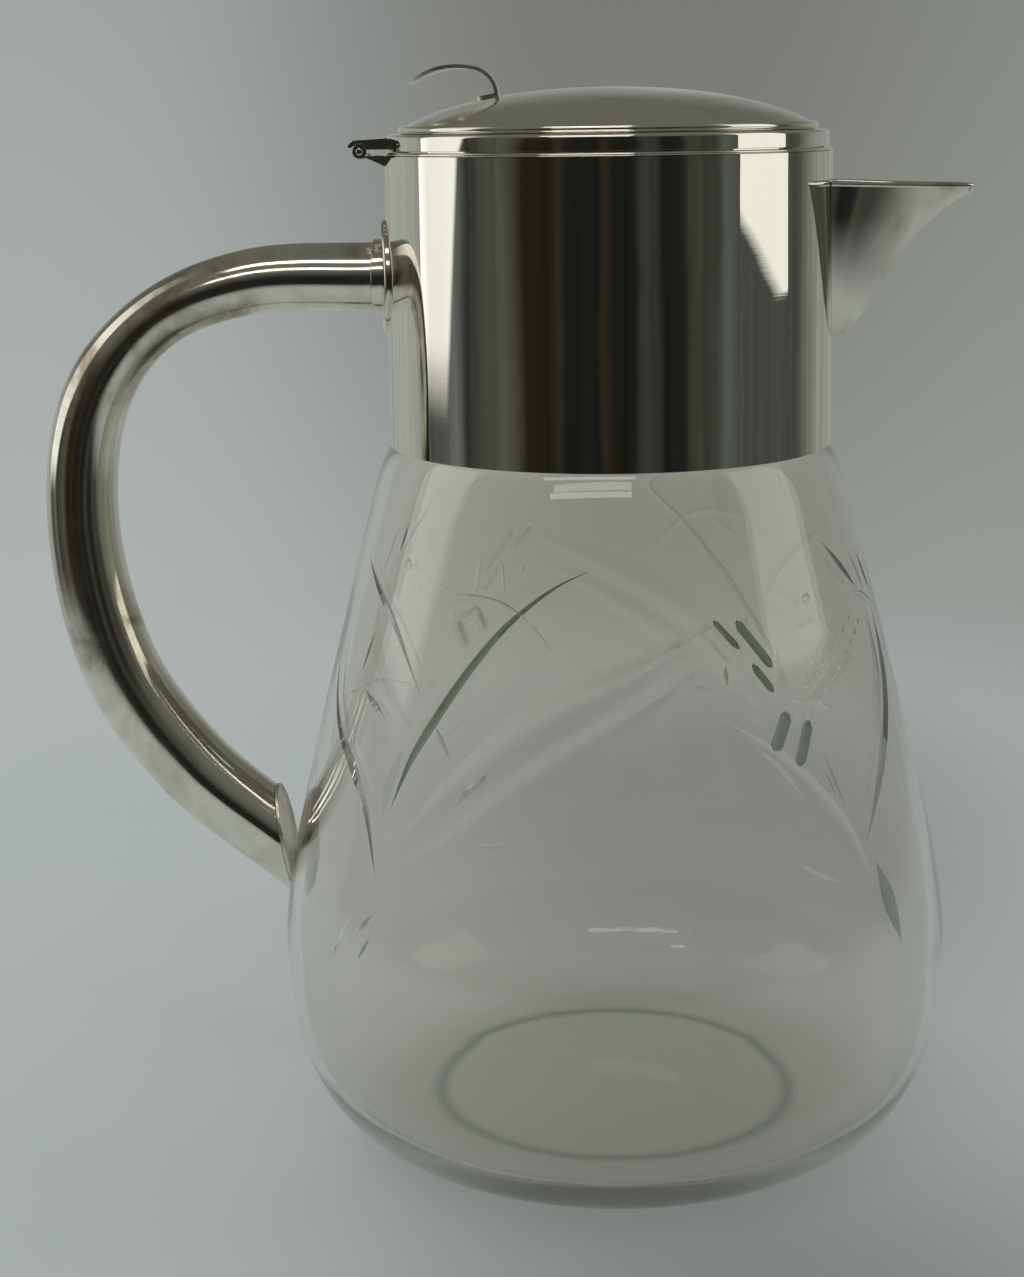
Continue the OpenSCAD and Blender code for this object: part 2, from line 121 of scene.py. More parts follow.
def finish_mesh(name, verts, faces, crease=30, painted_shades=None):
    """Closed mesh in metres from millimetre points, faces out, creases kept sharp."""
    mesh = bpy.data.meshes.new(name)
    mesh.from_pydata([[c * MM for c in v] for v in verts], [], faces)
    work = bmesh.new()
    work.from_mesh(mesh)
    # Painted shade for each face, read by the glass finish to darken its colour.
    if painted_shades:
        layer = work.faces.layers.float.new("cut_painted_shade")
        for face, tone in zip(work.faces, painted_shades):
            face[layer] = tone
    bmesh.ops.remove_doubles(work, verts=work.verts, dist=1e-7)
    smooth_faces(work, crease)
    work.to_mesh(mesh)
    work.free()
    return new_object(name, mesh)


def turned_parts(outline, columns, closed=True):
    """Rings and faces of a shape of revolution from (radius, height) points."""
    verts = []
    ring = []
    for r, z in outline:
        count = columns if r > 0 else 1
        ring.append((len(verts), count))
        for k in range(count):
            a = 2 * math.pi * k / columns
            verts.append((r * math.cos(a), r * math.sin(a), z))
    faces = []
    for i in range(len(outline) if closed else len(outline) - 1):
        a, na = ring[i]
        b, nb = ring[(i + 1) % len(outline)]
        if na == 1 and nb == 1:
            continue
        for k in range(columns):
            m = (k + 1) % columns
            loop = [a + k % na, a + m % na, b + m % nb, b + k % nb]
            faces.append(list(dict.fromkeys(loop)))
    return verts, faces


def turned(name, outline, columns=240, crease=30):
    """Solid of revolution from a closed outline of (radius, height)."""
    verts, faces = turned_parts(outline, columns)
    return finish_mesh(name, verts, faces, crease)


def add(mat, kind, settings=None, inputs=None):
    """New shader node; an input given as a socket is linked, otherwise set."""
    made = mat.node_tree.nodes.new("ShaderNode" + kind)
    for key, value in (settings or {}).items():
        setattr(made, key, value)
    for key, value in (inputs or {}).items():
        if isinstance(value, bpy.types.NodeSocket):
            mat.node_tree.links.new(value, made.inputs[key])
        else:
            made.inputs[key].default_value = value
    return made


def new_finish(name):
    """Empty material: returns it, its shader and its Object coordinates."""
    mat = bpy.data.materials.new(name)
    mat.use_nodes = True
    shader = mat.node_tree.nodes["Principled BSDF"]
    place = add(mat, "TexCoord").outputs["Object"]
    return mat, shader, place


def join(mat, source, target):
    mat.node_tree.links.new(source, target)


def maths(mat, operation, *values):
    """Result of one sum on sockets or numbers."""
    return add(mat, "Math", {"operation": operation}, dict(enumerate(values))).outputs[0]


def ease(mat, value, low, high, start=0.0, end=1.0):
    """Soft step from start to end as value goes from low to high."""
    made = add(mat, "MapRange", {"interpolation_type": "SMOOTHSTEP"}, {
        "Value": value, "From Min": low, "From Max": high, "To Min": start, "To Max": end})
    return made.outputs["Result"]


def blend(mat, share, first, second):
    """Colour that goes from first to second with share."""
    made = add(mat, "Mix", {"data_type": "RGBA"}, {0: share, 6: first, 7: second})
    return made.outputs[2]


def shades(mat, source, stops):
    """Colour ramp through (place, colour) stops, read by source; returns its colour."""
    made = add(mat, "ValToRGB", None, {"Fac": source})
    ramp = made.color_ramp.elements
    ramp[0].position = stops[0][0]
    ramp[-1].position = stops[-1][0]
    for at, colour in stops[1:-1]:
        ramp.new(at)
    for stop, (at, colour) in zip(ramp, stops):
        stop.color = (*colour, 1)
    return made.outputs["Color"]


def crystal():
    """Clear lead glass: faint seeds and wiping marks on a polished face, painted shade in
    the cuts and the foot ring, and a painted glow where rays go deep.
    """
    mat, shader, place = new_finish("clear_crystal")
    smear = add(mat, "TexNoise", None, {"Vector": place, "Scale": 55.0, "Detail": 5.0})
    rough = add(mat, "MapRange", None, {
        "Value": smear.outputs["Fac"], "From Min": 0.52, "From Max": 0.8,
        "To Min": 0.0, "To Max": 0.05})
    join(mat, rough.outputs["Result"], shader.inputs["Roughness"])
    wave = add(mat, "TexNoise", None, {"Vector": place, "Scale": 28.0, "Detail": 2.0})
    bump = add(mat, "Bump", None, {
        "Height": wave.outputs["Fac"], "Strength": 0.12, "Distance": 0.0015})
    join(mat, bump.outputs["Normal"], shader.inputs["Normal"])
    tone = add(mat, "TexNoise", None, {"Vector": place, "Scale": 12.0, "Detail": 1.0})
    tint = shades(mat, tone.outputs["Fac"], [
        (0.3, (0.952, 0.930, 0.884)), (0.7, (0.972, 0.950, 0.908))])
    # Painted shade: the glass colour goes toward dark green where the faces carry the cut shade,
    # in place of the dark the cuts show by refraction.
    cut = add(mat, "Attribute", {"attribute_name": "cut_painted_shade"})
    deep = blend(mat, cut.outputs["Fac"], tint, (0.085, 0.115, 0.08, 1))
    join(mat, deep, shader.inputs["Base Color"])
    shader.inputs["IOR"].default_value = 1.53
    shader.inputs["Transmission Weight"].default_value = 1.0
    clear = add(mat, "BsdfTransparent", None, {"Color": (0.89, 0.893, 0.88, 1)})
    path = add(mat, "LightPath")
    out = mat.node_tree.nodes["Material Output"]
    soft_light = maths(mat, "MAXIMUM", path.outputs["Is Shadow Ray"],
                       path.outputs["Is Diffuse Ray"])
    both = add(mat, "MixShader", None, {
        0: soft_light, 1: shader.outputs["BSDF"], 2: clear.outputs["BSDF"]})
    # Painted glow: rays past this depth end in an emission, darker and lighter grey by radius,
    # that paints bands into the thick foot.
    many = maths(mat, "GREATER_THAN", path.outputs["Ray Depth"], PAINTED_GLOW_DEPTH)
    level = add(mat, "VectorMath", {"operation": "MULTIPLY"}, {0: place, 1: (1.0, 1.0, 0.0)})
    radius = add(mat, "VectorMath", {"operation": "LENGTH"}, {0: level.outputs["Vector"]})
    depth = add(mat, "MapRange", None, {"Value": radius.outputs["Value"], "From Max": 0.08})
    inner = shades(mat, depth.outputs["Result"], [
        (at, (grey, grey * 1.06, grey * 0.94))
        for at, grey in ((0.2, 0.085), (0.42, 0.185), (0.6, 0.15), (0.95, 0.10))])
    painted_glow = add(mat, "Emission", None, {"Color": inner})
    last = add(mat, "MixShader", None, {
        0: many, 1: both.outputs["Shader"], 2: painted_glow.outputs[0]})
    join(mat, last.outputs["Shader"], out.inputs["Surface"])
    thick = add(mat, "VolumeAbsorption", None, {
        "Color": (0.62, 0.70, 0.60, 1), "Density": 1.5})
    join(mat, thick.outputs["Volume"], out.inputs["Volume"])
    return mat


outside = glass_line(0, 49.5, FOOT_R, 0, 64)
inside = glass_line(WALL, 46.3, 41.5, BASE, 64)
inside += [(41.2 - 0.4 * k, BASE - 0.1 * math.sin(math.pi * (k + 1) / 9)) for k in range(9)]


def glass_radius(z):
    for (r0, z0), (r1, z1) in zip(outside, outside[1:]):
        if z1 <= z <= z0:
            return r1 + (r0 - r1) * (z - z1) / (z0 - z1)
    return FOOT_R


# Cut pattern, ground on the wheel, fainter on the back: each stroke is (places, half
# width, slope, where it is widest, hollow floor, tone). A place is degrees from the
# near side toward the right, and height in millimetres; tone is how dark the cut is
# painted, a painted shade for the dark seen through the cut glass.
STROKES = [
    ([(-43, 89), (-39.5, 100.5), (-34, 111.5), (-28, 121.5), (-21, 130.5), (-12, 138),
      (-3, 142.5)], 1.1, 0.5, 0.28, False, 1.0),
    ([(-37, 135), (-28.5, 135.5), (-21.5, 134), (-15, 129.5), (-9.5, 123)],
     0.4, 0.6, 0.5, False, 0.25),
    ([(-35.5, 129), (-28, 133.5)], 0.75, 0.5, 0.5, False, 0.3),
    ([(-24, 143.5), (-22.5, 136)], 0.6, 0.5, 0.5, False, 0.3),
    ([(-35, 108.5), (-30.5, 102)], 0.6, 0.6, 0.5, False, 0.5),
    ([(-51.5, 139.5), (-48.5, 139.5)], 1.5, 0.35, 0.5, True, 0.0),
    ([(-70, 138.5), (-57, 131), (-48.5, 124.5), (-38, 112)], 1.0, 0.5, 0.35, False, 0.5),
    ([(-65, 108), (-54, 114), (-42, 116)], 0.4, 0.5, 0.5, False, 0.2),
    ([(-57, 111.5), (-48, 107)], 0.9, 0.6, 0.5, False, 0.4),
    ([(-77, 118.5), (-72, 108.5), (-65, 101.5), (-56, 95), (-49, 87), (-43.5, 74)],
     1.4, 0.4, 0.6, False, 0.45),
    ([(-60, 114.5), (-57.5, 124)], 0.45, 0.6, 0.5, False, 0.5),
    ([(-54, 141.5), (-52.5, 148)], 0.5, 0.6, 0.5, False, 0.5),
    ([(-41, 82), (-28, 98), (-12, 112), (5, 121.5), (22, 130.5)],
     4.2, 0.26, 0.45, True, 0.0),
    ([(-38, 79), (-25, 89.5), (-12, 101.5), (2, 112), (17, 122)],
     3.6, 0.26, 0.4, True, 0.0),
    ([(-28.5, 93), (-25, 98), (-20, 104.5)], 1.0, 0.8, 0.5, False, 0.55),
    ([(-5.5, 107.5), (1, 108.5)], 0.75, 0.5, 0.45, False, 0.25),
    ([(-23.5, 86), (-17, 87)], 0.75, 0.5, 0.45, False, 0.2),
    ([(26, 130.5), (33, 120.5)], 1.1, 0.9, -0.08, False, 1.0),
    ([(21, 131), (26, 125)], 0.75, 0.9, -0.08, False, 1.0),
    ([(28.5, 121.5), (32.5, 115.5)], 0.9, 0.9, -0.08, False, 1.0),
    ([(22.5, 121.5), (22.5, 118)], 0.6, 0.8, -0.2, False, 0.7),
    ([(35, 111), (31, 104)], 1.6, 0.7, -0.2, False, 0.92),
    ([(39.8, 108.5), (35.8, 100)], 1.5, 0.7, -0.2, False, 0.92),
    ([(34.5, 125), (35, 114.5)], 0.9, 0.5, 0.6, False, 0.0),
    ([(37.5, 113), (47.5, 109.5)], 0.9, 0.5, 0.4, False, 0.0),
    ([(54, 143.5), (66, 131.5)], 0.9, 0.7, 0.6, False, 0.6),
    ([(71.5, 139), (76.5, 128.5)], 0.9, 0.7, 0.6, False, 0.6),
    ([(59, 131), (68, 130), (80, 124)], 0.4, 0.5, 0.5, False, 0.2),
    ([(74, 126), (72, 114), (64.5, 102), (56, 90.5), (49, 80.5)],
     2.2, 0.26, 0.35, False, 0.7),
    ([(18.5, 113.5), (33, 100.5), (44, 84.5), (50, 70)], 2.8, 0.3, 0.6, True, 0.0),
    ([(42, 101.5), (45.5, 89)], 0.4, 0.6, 0.5, False, 0.4),
    ([(41.5, 98.5), (43.5, 92)], 0.3, 0.6, 0.5, False, 0.4),
    ([(51, 76.5), (53, 67.5), (55, 57.5)], 2.2, 0.26, 0.5, False, 0.75),
    ([(43.5, 132.8), (46.5, 132.8)], 1.4, 0.35, 0.5, True, 0.0),
    ([(32, 81.5), (37, 77.5), (43, 74)], 0.5, 0.5, 0.5, False, 0.2),
    ([(-43.5, 67.5), (-46.5, 63)], 0.5, 0.45, 0.5, False, 0.7),
    ([(-43.5, 62.5), (-46, 57)], 0.5, 0.45, 0.5, False, 0.7),
    ([(-48, 67.5), (-53, 55)], 0.7, 0.5, 0.5, False, 0.0)]
for start, end in (((39, 114.5), (60, 127)), ((44.5, 113), (64, 125.5))):
    for k in range(7):
        a = [p + (q - p) * (k + 0.1) / 7 for p, q in zip(start, end)]
        b = [p + (q - p) * (k + 0.9) / 7 for p, q in zip(start, end)]
        STROKES.append(([a, b], 0.5, 0.4, 0.5, False, 0.2 if k % 2 else 0.0))
ACROSS = 1.2


def ground_strokes():
    """Each stroke as its centre line, half widths and shape on the flat pattern."""
    cuts = []
    for places, half, slope, swell, hollow, tone in STROKES:
        flat = [(a * ACROSS, z) for a, z in places]
        length = sum(math.dist(p, q) for p, q in zip(flat, flat[1:]))
        steps = max(3, round(length / (len(flat) - 1) / 1.3))
        line = np.array(smooth_run(flat, steps))
        share = np.linspace(0, 1, len(line))
        if swell < 0:
            wide = np.minimum(1, np.minimum(share, 1 - share) / -swell + 0.35)
        else:
            grow = np.where(share < swell, share / swell, (1 - share) / (1 - swell))
            wide = np.sin(grow * math.pi / 2) ** 1.25
        cuts.append((line, half * wide, slope, hollow, tone))
    return cuts


def cut_depth(cuts, places):
    """Depth of the cutting and its painted shade at flat places."""
    places = np.asarray(places, float)
    depth = np.zeros(len(places))
    painted_shade = np.zeros(len(places))
    for line, half, slope, hollow, tone in cuts:
        reach = half.max() + 0.1
        low = line.min(0) - reach
        high = line.max(0) + reach
        near = np.where(((places > low) & (places < high)).all(1))[0]
        if not len(near):
            continue
        p = places[near][:, None]
        a = line[:-1][None]
        run = line[1:][None] - a
        t = np.clip(((p - a) * run).sum(2) / (run ** 2).sum(2), 0, 1)
        gap = np.linalg.norm(p - a - t[..., None] * run, axis=2)
        wide = half[:-1] + (half[1:] - half[:-1]) * t
        if hollow:
            deep = slope * wide / 2.8 * (1 - (gap / np.maximum(wide, 1e-6)) ** 2)
        else:
            deep = slope * (wide - gap) / 1.8
        deep = deep.max(1)
        better = near[deep > depth[near]]
        depth[better] = deep[deep > depth[near]]
        painted_shade[better] = tone
    return depth, painted_shade


def pattern_net(cuts):
    """Flat net of one half of the body: an even grid with the strokes let in."""
    rows = 42
    tall = (BELLY[1], SHOULDER[1])
    grid = []
    for i in range(rows + 1):
        z = tall[0] + (tall[1] - tall[0]) * i / rows
        for k in range(121):
            grid.append(((-90 + 1.5 * k) * ACROSS, z))
    grid = np.array(grid)
    free = np.ones(len(grid), bool)
    lines = []
    for line, half, slope, hollow, tone in cuts:
        along = np.gradient(line, axis=0)
        along /= np.linalg.norm(along, axis=1)[:, None]
        side = np.stack([-along[:, 1], along[:, 0]], 1) * half[:, None]
        shares = (-1, -0.5, 0, 0.5, 1) if hollow else (-1, 0, 1)
        for share in shares:
            lines.append(line + side * share)
        gap = np.linalg.norm(grid[:, None] - line[None], axis=2) - half[None]
        inner = np.abs(grid[:, 0]) < 89.9 * ACROSS
        inner &= (grid[:, 1] > tall[0] + 0.1) & (grid[:, 1] < tall[1] - 0.1)
        free &= ~((gap.min(1) < 0.5) & inner)
    places = [Vector(p) for p in grid[free]]
    edges = []
    for line in lines:
        first = len(places)
        places += [Vector(p) for p in line]
        edges += [(first + k, first + k + 1) for k in range(len(line) - 1)]
    made = delaunay_2d_cdt(places, edges, [], 0, 1e-4)
    return np.array([tuple(p) for p in made[0]]), [list(f) for f in made[2]]


def cut_glass():
    """Blown form with the pattern let into its outside between shoulder and belly."""
    cuts = ground_strokes()
    flat, triangles = pattern_net(cuts)
    depth, painted_shade = cut_depth(cuts, flat)
    middle = flat[np.array(triangles)].mean(1)
    deep, painted_shades = cut_depth(cuts, middle)
    shoulder = outside.index(min(outside, key=lambda p: abs(p[1] - SHOULDER[1])))
    belly = outside.index(min(outside, key=lambda p: abs(p[1] - BELLY[1])))
    foot = outside[belly:]
    upper = inside[::-1] + [(NECK_BORE, 165), (NECK_BORE, 180.5), (NECK_BORE + 0.5, 181),
                            (NECK_R - 0.5, 181), (NECK_R, 180.5), (NECK_R, BODY_TOP)]
    upper += outside[:shoulder + 1]
    lower = foot + [(34, 0.05), (30, 0.2), (15, 0.45), (0, 0.5)]
    verts, faces = turned_parts([(0, BASE)] + upper, 240, False)
    more, rest = turned_parts(lower, 240, False)
    faces += [[i + len(verts) for i in f] for f in rest]
    verts += more
    # Painted shade: a soft dark ring painted on the faces round the foot's edge.
    tone = []
    for (r0, z0), (r1, z1) in zip([(0, BASE)] + upper, upper):
        off = ((r0 + r1) / 2 - RING_R) / (1.7 if r0 + r1 < 2 * RING_R else 2.0)
        tone += [RING_PAINTED_SHADE * math.exp(-off * off) if 1 < z1 < BASE + 2 else 0.0] * 240
    tone += [0.0] * (len(faces) - len(tone))
    heights = np.array([p[1] for p in outside[::-1]])
    radii = np.array([p[0] for p in outside[::-1]])
    r = np.interp(flat[:, 1], heights, radii)
    lean = (np.interp(flat[:, 1] + 0.5, heights, radii)
            - np.interp(flat[:, 1] - 0.5, heights, radii))
    size = np.hypot(1, lean)
    for half_turn in (0, 180):
        share = 1.0 if half_turn == 0 else BACK_SHARE
        ring = r - share * depth / size
        height = flat[:, 1] + share * depth * lean / size
        angle = np.radians(flat[:, 0] / ACROSS + half_turn - 90)
        start = len(verts)
        verts += list(zip(ring * np.cos(angle), ring * np.sin(angle), height))
        faces += [[start + i for i in f] for f in triangles]
        tone += [t * share if d > 0.004 else 0.0 for t, d in zip(painted_shades, deep)]
    return finish_mesh("cut_glass_body", verts, faces, 8.5, tone)


glass = cut_glass()
glass.data.materials.append(crystal())
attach(glass, "jug")
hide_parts("glass_body")

# Neck cement and ledge: plaster of Paris sets the glass neck in the metal collar,
# and a thin plated ring covers it inside. Both stay as the frame has them.


def plaster():
    mat, shader, place = new_finish("set_plaster")
    grain = add(mat, "TexNoise", None, {"Vector": place, "Scale": 900.0, "Detail": 6.0})
    tint = shades(mat, grain.outputs["Fac"], [
        (0, (0.42, 0.39, 0.32)), (1, (0.68, 0.65, 0.57))])
    join(mat, tint, shader.inputs["Base Color"])
    bump = add(mat, "Bump", None, {
        "Height": grain.outputs["Fac"], "Strength": 0.5, "Distance": 0.0003})
    join(mat, bump.outputs["Normal"], shader.inputs["Normal"])
    shader.inputs["Roughness"].default_value = 0.9
    return mat


def plated(name, tarnish, wave=0.25, offset=(0, 0, 0), dull=0.015):
    """Polished silver plate with wipe marks, hand-worked ripple and brown tarnish.
    tarnish is the share of the face that has turned, dull its least roughness."""
    mat, shader, place = new_finish(name)
    moved = add(mat, "Mapping", None, {
        "Vector": place, "Location": offset}).outputs["Vector"]
    cloud = add(mat, "TexNoise", None, {
        "Vector": moved, "Scale": 38.0, "Detail": 7.0, "Roughness": 0.62,
        "Distortion": 0.6})
    stain = add(mat, "MapRange", None, {
        "Value": cloud.outputs["Fac"], "From Min": 0.68 - 0.3 * tarnish,
        "From Max": 0.86 - 0.25 * tarnish})
    tint = shades(mat, stain.outputs["Result"], [
        (0, (0.86, 0.83, 0.74)), (0.5, (0.74, 0.69, 0.585)), (1, (0.38, 0.32, 0.24))])
    join(mat, tint, shader.inputs["Base Color"])
    wipe = add(mat, "Mapping", None, {"Vector": place, "Scale": (60, 60, 2200)})
    hair = add(mat, "TexNoise", None, {
        "Vector": wipe.outputs["Vector"], "Scale": 1.0, "Detail": 4.0})
    worn = maths(mat, "MULTIPLY_ADD", stain.outputs["Result"], 0.9, hair.outputs["Fac"])
    rough = add(mat, "MapRange", None, {
        "Value": worn, "From Min": 0.45, "From Max": 1.5,
        "To Min": dull, "To Max": dull + 0.13})
    join(mat, rough.outputs["Result"], shader.inputs["Roughness"])
    ripple = add(mat, "TexNoise", None, {"Vector": moved, "Scale": 24.0, "Detail": 2.0})
    fine = add(mat, "Bump", None, {
        "Height": hair.outputs["Fac"], "Strength": 0.006, "Distance": 0.0002})
    bump = add(mat, "Bump", None, {
        "Height": ripple.outputs["Fac"], "Strength": wave, "Distance": 0.001,
        "Normal": fine.outputs["Normal"]})
    join(mat, bump.outputs["Normal"], shader.inputs["Normal"])
    shader.inputs["Metallic"].default_value = 1.0
    return mat


def dress(name, mat):
    """Gives a node of the frame its finish."""
    mesh = node[name].data
    mesh.materials.clear()
    mesh.materials.append(mat)


dress("neck_cement", plaster())
dress("neck_ledge", plated("ledge_plate", 0.5))

# Collar: a cylinder of plated sheet, seamed and rolled, that takes the glass neck
# below and the lid above. A window with a rounded foot is cut behind the beak.
COLLAR_R = 50.0
COLLAR_BORE = 49.1
COLLAR_TOP = 226.0
WINDOW_TOP = 217.8
WINDOW_DEEP = 31.475
WINDOW_HALF = 8.9


def window_foot(y):
    return WINDOW_TOP - WINDOW_DEEP * (1 - min(abs(y) / WINDOW_HALF, 1) ** 1.7)


def collar_mesh():
    edge = math.asin(WINDOW_HALF / COLLAR_R)
    cut = 32
    rest = 224
    angles = [-edge + 2 * edge * k / cut for k in range(cut)]
    angles += [edge + (2 * math.pi - 2 * edge) * k / rest for k in range(rest)]
    verts = []
    for a in angles:
        inside_window = abs(a) < edge - 1e-6
        y = COLLAR_R * math.sin(a)
        low = window_foot(y) if inside_window else WINDOW_TOP
        for z in (BODY_TOP, low, WINDOW_TOP, COLLAR_TOP):
            for r in (COLLAR_R, COLLAR_BORE):
                verts.append((r * math.cos(a), r * math.sin(a), z))
    faces = []
    total = len(angles)
    for k in range(total):
        m = (k + 1) % total
        for strip in (0, 2):
            for side in (0, 1):
                p = strip * 2 + side
                faces.append([8 * k + p, 8 * m + p, 8 * m + p + 2, 8 * k + p + 2])
        for level in (0, 6):
            faces.append([8 * k + level, 8 * m + level, 8 * m + level + 1, 8 * k + level + 1])
        if k < cut:
            for level in (2, 4):
                faces.append([8 * k + level, 8 * m + level,
                              8 * m + level + 1, 8 * k + level + 1])
    return finish_mesh("collar_sheet", verts, faces)


collar = collar_mesh()
collar.data.materials.append(plated("collar_plate", 0.12, 0.16))
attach(collar, "jug")
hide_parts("collar")

# Collar rim: a sleeve soldered inside the collar, turned over its edge as a fine
# rounded bead on which the lid comes down.


def bend(cx, cz, r, start, end, count):
    """Arc of a turned outline, degrees from the outward direction."""
    points = []
    for i in range(count + 1):
        a = math.radians(start + (end - start) * i / count)
        points.append((cx + r * math.cos(a), cz + r * math.sin(a)))
    return points


rim_bead = turned("rim_bead", (
    [(48.25, 221), (49.1, 221), (49.1, 226.0)] + bend(49.4, 226.4, 0.4, -90, 90, 10)
    + bend(48.3, 226.6, 0.2, 90, 180, 4) + [(48.1, 221.15)]))
rim_bead.data.materials.append(plated("rim_plate", 0.35, 0.05))
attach(rim_bead, "jug")
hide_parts("collar_rim")

# Beak spout: one sheet raised over a stake to a V with a rounded keel, its mouth
# fitted round the window and soldered to the collar, its edge turned over a wire.
BEAK_REACH = 31.5
BEAK_LOW = 184.0
BEAK_RIM = 219.0
BEAK_HALF = 11.0
BEAK_TIP_HALF = 2.5
BEAK_SHEET = 0.9
BEAK_FOLD = (2.2, 1.35)
BEAK_WIRE = 0.62


def beak_point(u, t, inner):
    root = (COLLAR_R, BEAK_LOW)
    tip = (COLLAR_R + BEAK_REACH, 216.4)
    fall = tip[1] - root[1]
    s = 1 - u
    control = [root, (root[0] + 0.3 * BEAK_REACH, root[1] + 0.2),
               (tip[0] - 0.6 * BEAK_REACH, tip[1] - 0.27 * fall), tip]
    weight = (s ** 3, 3 * s * s * u, 3 * s * u * u, u ** 3)
    keel = [sum(w * p[i] for w, p in zip(weight, control)) for i in (0, 1)]
    top = BEAK_RIM - u
    half = BEAK_TIP_HALF + (BEAK_HALF - BEAK_TIP_HALF) * (1 - u ** 1.25)
    half -= inner * BEAK_SHEET
    deep = top - keel[1] - inner * BEAK_SHEET * 1.25
    y = half * t
    fold = BEAK_FOLD[1] + (BEAK_FOLD[0] - BEAK_FOLD[1]) * s ** 3
    z = top - deep * (1 - abs(t) ** fold)
    hug = math.sqrt(COLLAR_R ** 2 - y * y) - COLLAR_R
    return (keel[0] + 0.02 + hug * s ** 3, y, z)


def double_skin(name, point, rows, cols, crease=35):
    """Closed sheet from point(row share, column share -1 to 1, inner 0 or 1)."""
    verts = []
    for inner in (0, 1):
        for i in range(rows + 1):
            for j in range(cols + 1):
                verts.append(point(i / rows, 2 * j / cols - 1, inner))
    side = (rows + 1) * (cols + 1)

    def at(inner, i, j):
        return inner * side + i * (cols + 1) + j

    faces = []
    for i in range(rows):
        for j in range(cols):
            for inner in (0, 1):
                faces.append([at(inner, i, j), at(inner, i, j + 1),
                              at(inner, i + 1, j + 1), at(inner, i + 1, j)])
        for j in (0, cols):
            faces.append([at(0, i, j), at(0, i + 1, j), at(1, i + 1, j), at(1, i, j)])
    for j in range(cols):
        for i in (0, rows):
            faces.append([at(0, i, j), at(0, i, j + 1), at(1, i, j + 1), at(1, i, j)])
    return finish_mesh(name, verts, faces, crease)


def round_edges(piece, width, segments=3, angle=40):
    """Breaks the sharp edges as a file and buff leave them."""
    soft = piece.modifiers.new("filed_edge", "BEVEL")
    soft.width = width * MM
    soft.segments = segments
    soft.limit_method = "ANGLE"
    soft.angle_limit = math.radians(angle)
    soft.harden_normals = False


def tube_tree():
    """Sweeps a round section along the path; the path's radius sets its size."""
    tree = bpy.data.node_groups.new("bent_tube", "GeometryNodeTree")
    face = tree.interface
    face.new_socket("Path", in_out="INPUT", socket_type="NodeSocketGeometry")
    sides = face.new_socket("Sides", in_out="INPUT", socket_type="NodeSocketInt")
    sides.default_value = 64
    finish = face.new_socket("Finish", in_out="INPUT", socket_type="NodeSocketMaterial")
    face.new_socket("Tube", in_out="OUTPUT", socket_type="NodeSocketGeometry")
    start = tree.nodes.new("NodeGroupInput")
    end = tree.nodes.new("NodeGroupOutput")
    section = tree.nodes.new("GeometryNodeCurvePrimitiveCircle")
    sweep = tree.nodes.new("GeometryNodeCurveToMesh")
    radius = tree.nodes.new("GeometryNodeInputRadius")
    whole = tree.nodes.new("GeometryNodeRealizeInstances")
    paint = tree.nodes.new("GeometryNodeSetMaterial")
    for source, out, target, into in (
            (start, "Path", sweep, "Curve"), (start, "Sides", section, "Resolution"),
            (section, "Curve", sweep, "Profile Curve"), (radius, "Radius", sweep, "Scale"),
            (sweep, "Mesh", whole, "Geometry"), (whole, "Geometry", paint, "Geometry"),
            (start, "Finish", paint, "Material"), (paint, "Geometry", end, "Tube")):
        tree.links.new(source.outputs[out], target.inputs[into])
    section.inputs["Radius"].default_value = 1.0
    sweep.inputs["Fill Caps"].default_value = True
    return tree, sides.identifier, finish.identifier


def swept_tube(name, line, finish, sides):
    """Plain mesh of a round tube along (x, y, z, radius) points in millimetres."""
    path = bpy.data.curves.new(name, "CURVE")
    path.dimensions = "3D"
    run = path.splines.new("POLY")
    run.points.add(len(line) - 1)
    for point, (x, y, z, r) in zip(run.points, line):
        point.co = (x * MM, y * MM, z * MM, 1)
        point.radius = r * MM
    guide = new_object(name + "_guide", path)
    tree, sides_socket, finish_socket = tube_tree()
    sweep = guide.modifiers.new("bent_tube", "NODES")
    sweep.node_group = tree
    sweep[sides_socket] = sides
    sweep[finish_socket] = finish
    ready = guide.evaluated_get(bpy.context.evaluated_depsgraph_get())
    mesh = bpy.data.meshes.new_from_object(ready)
    bpy.data.objects.remove(guide)
    return mesh


def rim_line():
    """Edge of the beak: out along one side, round the lip and back."""
    line = []
    stations = [0.004] + [k / 24 for k in range(1, 24)] + [0.985]
    for side, order in ((-1, stations), (1, stations[::-1])):
        if side == 1:
            for k in range(-5, 6):
                x, y, z = beak_point(0.995, k / 6, 0)
                line.append((x - 0.5, y, z, BEAK_WIRE))
        for u in order:
            x, y, z = beak_point(u, side, 0)
            line.append((x, y - side * 0.45, z - 0.25, BEAK_WIRE))
    return line


beak_plate = plated("beak_plate", 0.7, 0.16, (0.3, 0, 0.1), 0.03)
beak = double_skin("beak_spout", beak_point, 48, 48)
round_edges(beak, 0.22)
beak.data.materials.append(beak_plate)
wire = new_object("beak_rim_wire", swept_tube("beak_rim", rim_line(), beak_plate, 14))
for made in (beak, wire):
    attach(made, "jug")
    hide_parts("spout")

# Handle flange and ferrule: a round plate of sheet bent to the collar and soldered
# to it, with a fine half-round ring that hides the joint of the tube.
HANDLE_Z = 198.7
FLANGE_R = 13.0
FLANGE_EDGE = 0.7
FLANGE_FACE = 51.2
FLANGE_BACK = 50.02
FERRULE_BORE = 8.01
FERRULE_R = 8.61
FERRULE_END = -52.8


